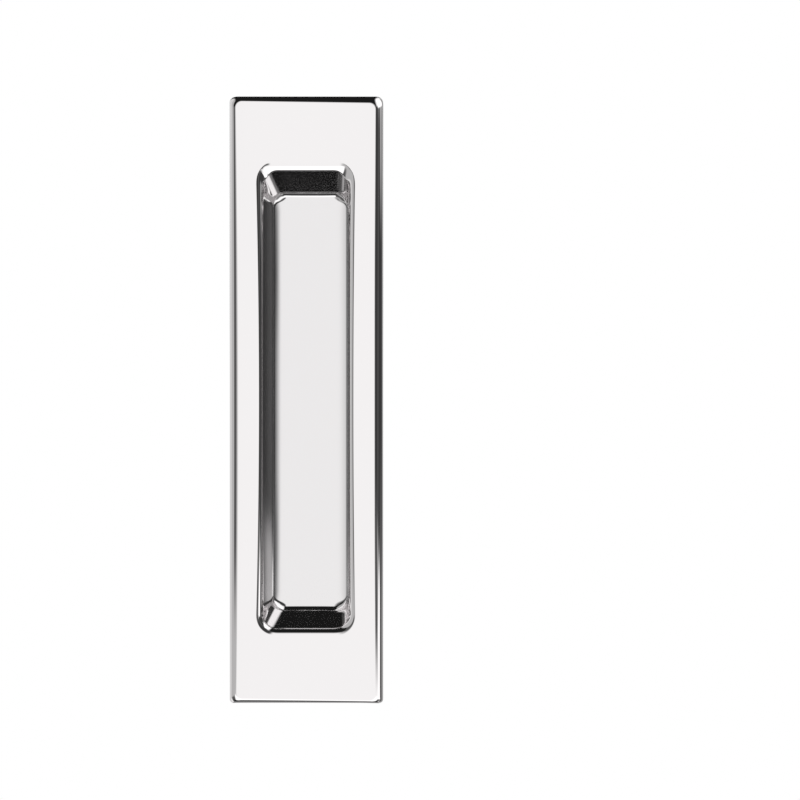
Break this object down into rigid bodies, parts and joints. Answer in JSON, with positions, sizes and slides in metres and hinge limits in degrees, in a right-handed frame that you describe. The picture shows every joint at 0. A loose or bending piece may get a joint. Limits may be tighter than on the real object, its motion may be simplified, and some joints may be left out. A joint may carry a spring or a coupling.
{
  "type": "sliding door flush pull",
  "caption": "Rectangular flush pull for a sliding door: a flat flange with soft front edges around a long tapered finger recess with a rolled lip, one polished chromed casting.",
  "frame": {"origin": "centre of the flange's back face, in the plane where it lies on the door leaf", "axes": "+Z along the long side, upwards on the door; -Y out of the front face towards the user; +Y into the door; +X across the width"},
  "size_m": [0.038, 0.0123, 0.15],
  "materials": {
    "polished_chrome": "mirror polished chrome plate on cast zinc"
  },
  "bodies": {
    "root": {"flush_pull": "polished_chrome"}
  },
  "joints": []
}
